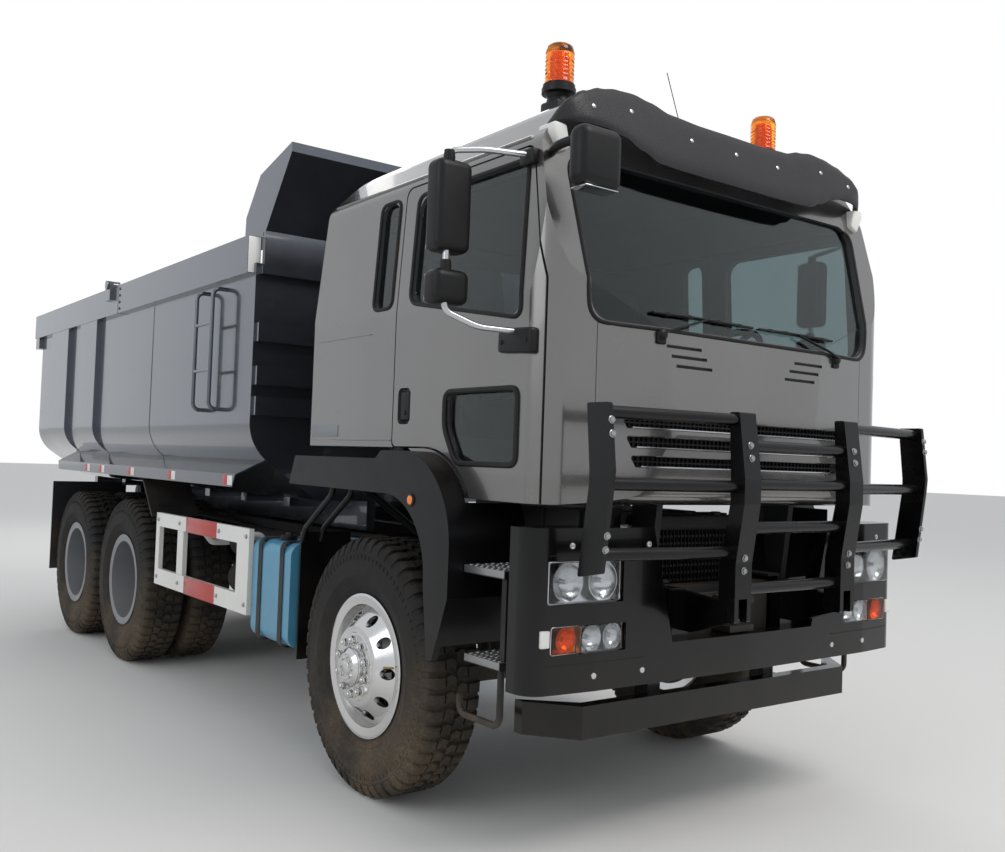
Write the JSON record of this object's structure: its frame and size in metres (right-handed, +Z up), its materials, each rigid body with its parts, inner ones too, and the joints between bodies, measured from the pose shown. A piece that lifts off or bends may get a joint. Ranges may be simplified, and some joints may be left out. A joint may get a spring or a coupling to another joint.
{
  "type": "three-axle dump truck with a U-shaped load bed and a folding front guard",
  "caption": "Dump truck with a tilting cab, folding front guard, steered front wheels, twin rear wheels and a U-shaped bed raised by a telescopic hoist.",
  "frame": {"origin": "on the ground, under the middle of the bounding box", "axes": "+X runs forward along the truck, +Y to the truck's left, +Z up"},
  "size_m": [8.325, 2.797, 3.5311],
  "materials": {
    "cab_paint": "satin",
    "bed_paint": "gloss",
    "chassis_black": "satin",
    "guard_white": "gloss",
    "tank_blue": "gloss",
    "wheel_chrome": "polished",
    "wheel_grey": "satin",
    "tyre_rubber": "matte",
    "clear_glass": "clear",
    "lamp_glass": "clear",
    "amber_lens": "gloss",
    "trim_black": "grained",
    "dash_plastic": "grained",
    "seat_fabric": "woven",
    "hoist_steel": "brushed",
    "cast_black": "rough"
  },
  "bodies": {
    "chassis": {"axles": "cast_black", "chassis_frame": "chassis_black", "leaf_springs": "cast_black", "engine_block": "cast_black", "propeller_shafts": "cast_black", "fuel_tanks": "tank_blue", "battery_box": "chassis_black", "air_tanks": "chassis_black", "silencer": "hoist_steel", "side_guards": "guard_white", "fenders": "trim_black", "steps": "chassis_black", "bumper": "chassis_black", "lower_beam": "chassis_black", "tow_coupling": "cast_black", "lamps": "lamp_glass", "rear_beam": "chassis_black"},
    "cab": {"cab_shell": "cab_paint", "front_panel": "cab_paint", "cab_glass": "clear_glass", "sun_visor": "trim_black", "beacon_lenses": "amber_lens", "cab_fittings": "trim_black", "seat_frames": "chassis_black", "seat_cushions": "seat_fabric", "dashboard": "dash_plastic"},
    "guard": {"front_guard": "chassis_black"},
    "steering": {"steering_wheel": "trim_black"},
    "right_door": {"door_right": "cab_paint", "door_glass_right": "clear_glass", "mirror_right": "trim_black"},
    "left_door": {"door_left": "cab_paint", "door_glass_left": "clear_glass", "mirror_left": "trim_black"},
    "right_knuckle": {"knuckle_right": "cast_black"},
    "left_knuckle": {"knuckle_left": "cast_black"},
    "track_rod": {"tie_rod": "cast_black"},
    "front_right_wheel": {"front_wheel_right": "wheel_chrome", "front_tyre_right": "tyre_rubber"},
    "front_left_wheel": {"front_wheel_left": "wheel_chrome", "front_tyre_left": "tyre_rubber"},
    "middle_right_wheels": {"middle_wheel_right": "wheel_grey", "middle_tyres_right": "tyre_rubber"},
    "middle_left_wheels": {"middle_wheel_left": "wheel_grey", "middle_tyres_left": "tyre_rubber"},
    "rear_right_wheels": {"rear_wheel_right": "wheel_grey", "rear_tyres_right": "tyre_rubber"},
    "rear_left_wheels": {"rear_wheel_left": "wheel_grey", "rear_tyres_left": "tyre_rubber"},
    "bed": {"bed_shell": "bed_paint", "bed_frame": "bed_paint", "bed_rails": "bed_paint", "bed_front_wall": "bed_paint", "bed_sides": "bed_paint"},
    "gate": {"tailgate": "bed_paint"},
    "barrel": {"hoist_barrel": "hoist_steel"},
    "stage_1": {"hoist_stage_1": "hoist_steel"},
    "stage_2": {"hoist_stage_2": "hoist_steel"},
    "stage_3": {"hoist_stage_3": "hoist_steel"},
    "stage_4": {"hoist_stage_4": "hoist_steel"}
  },
  "joints": [
    {"name": "cab_tilt", "type": "hinge", "parent": "chassis", "child": "cab", "pos_m": [3.6575, 0.1015, 1.09], "axis": [0, 1, 0], "range_deg": [0, 50]},
    {"name": "guard_fold", "type": "hinge", "parent": "chassis", "child": "guard", "pos_m": [4.0725, 0.1015, 1.035], "axis": [0, 1, 0], "range_deg": [0, 90]},
    {"name": "door_right_swing", "type": "hinge", "parent": "cab", "child": "right_door", "pos_m": [3.7425, -0.9985, 2], "axis": [0, 0, 1], "range_deg": [0, 70]},
    {"name": "door_left_swing", "type": "hinge", "parent": "cab", "child": "left_door", "pos_m": [3.7425, 1.2015, 2], "axis": [0, 0, 1], "range_deg": [-70, 0]},
    {"name": "steering_turn", "type": "hinge", "parent": "cab", "child": "steering", "pos_m": [3.2325, 0.6215, 2.15918], "axis": [-0.5, 0, 0.866], "range_deg": [-640, 640]},
    {"name": "right_steer", "type": "hinge", "parent": "chassis", "child": "right_knuckle", "pos_m": [2.4975, -0.7785, 0.613], "axis": [0, 0, 1], "range_deg": [-35, 35]},
    {"name": "left_steer", "type": "hinge", "parent": "chassis", "child": "left_knuckle", "pos_m": [2.4975, 0.9815, 0.613], "axis": [0, 0, 1], "range_deg": [-35, 35]},
    {"name": "track_rod_turn", "type": "hinge", "parent": "right_knuckle", "child": "track_rod", "pos_m": [2.2675, -0.7185, 0.509], "axis": [0, 0, 1], "range_deg": [-35, 35]},
    {"name": "front_right_spin", "type": "hinge", "parent": "right_knuckle", "child": "front_right_wheel", "pos_m": [2.4975, -0.9295, 0.613], "axis": [0, 1, 0], "continuous": true},
    {"name": "front_left_spin", "type": "hinge", "parent": "left_knuckle", "child": "front_left_wheel", "pos_m": [2.4975, 1.1325, 0.613], "axis": [0, 1, 0], "continuous": true},
    {"name": "middle_right_spin", "type": "hinge", "parent": "chassis", "child": "middle_right_wheels", "pos_m": [-1.1925, -0.7835, 0.613], "axis": [0, 1, 0], "continuous": true},
    {"name": "middle_left_spin", "type": "hinge", "parent": "chassis", "child": "middle_left_wheels", "pos_m": [-1.1925, 0.9865, 0.613], "axis": [0, 1, 0], "continuous": true},
    {"name": "rear_right_spin", "type": "hinge", "parent": "chassis", "child": "rear_right_wheels", "pos_m": [-2.5425, -0.7835, 0.613], "axis": [0, 1, 0], "continuous": true},
    {"name": "rear_left_spin", "type": "hinge", "parent": "chassis", "child": "rear_left_wheels", "pos_m": [-2.5425, 0.9865, 0.613], "axis": [0, 1, 0], "continuous": true},
    {"name": "bed_tilt", "type": "hinge", "parent": "chassis", "child": "bed", "pos_m": [-3.3525, 0.1015, 1.218], "axis": [0, -1, 0], "range_deg": [0, 48]},
    {"name": "gate_swing", "type": "hinge", "parent": "bed", "child": "gate", "pos_m": [-4.0905, 0.1015, 2.622], "axis": [0, 1, 0], "range_deg": [0, 60]},
    {"name": "barrel_swing", "type": "hinge", "parent": "chassis", "child": "barrel", "pos_m": [1.4875, 0.1015, 0.965], "axis": [0, -1, 0], "range_deg": [0, 27.23]},
    {"name": "stage_1_slide", "type": "slide", "parent": "barrel", "child": "stage_1", "axis": [-0.0275, 0, 0.9996], "range_m": [0, 0.9549]},
    {"name": "stage_2_slide", "type": "slide", "parent": "stage_1", "child": "stage_2", "axis": [-0.0275, 0, 0.9996], "range_m": [0, 0.9549]},
    {"name": "stage_3_slide", "type": "slide", "parent": "stage_2", "child": "stage_3", "axis": [-0.0275, 0, 0.9996], "range_m": [0, 0.9549]},
    {"name": "stage_4_slide", "type": "slide", "parent": "stage_3", "child": "stage_4", "axis": [-0.0275, 0, 0.9996], "range_m": [0, 0.9549]}
  ],
  "couplings": [
    {"joint": "guard_fold", "follows": "cab_tilt", "ratio": 1.8},
    {"joint": "left_steer", "follows": "right_steer", "ratio": 1},
    {"joint": "track_rod_turn", "follows": "right_steer", "ratio": -1},
    {"joint": "steering_turn", "follows": "right_steer", "ratio": 18},
    {"joint": "barrel_swing", "follows": "bed_tilt", "ratio": 0.56305},
    {"joint": "stage_1_slide", "follows": "bed_tilt", "m_per_rad": 1.1374},
    {"joint": "stage_2_slide", "follows": "bed_tilt", "m_per_rad": 1.1374},
    {"joint": "stage_3_slide", "follows": "bed_tilt", "m_per_rad": 1.1374},
    {"joint": "stage_4_slide", "follows": "bed_tilt", "m_per_rad": 1.1374}
  ]
}
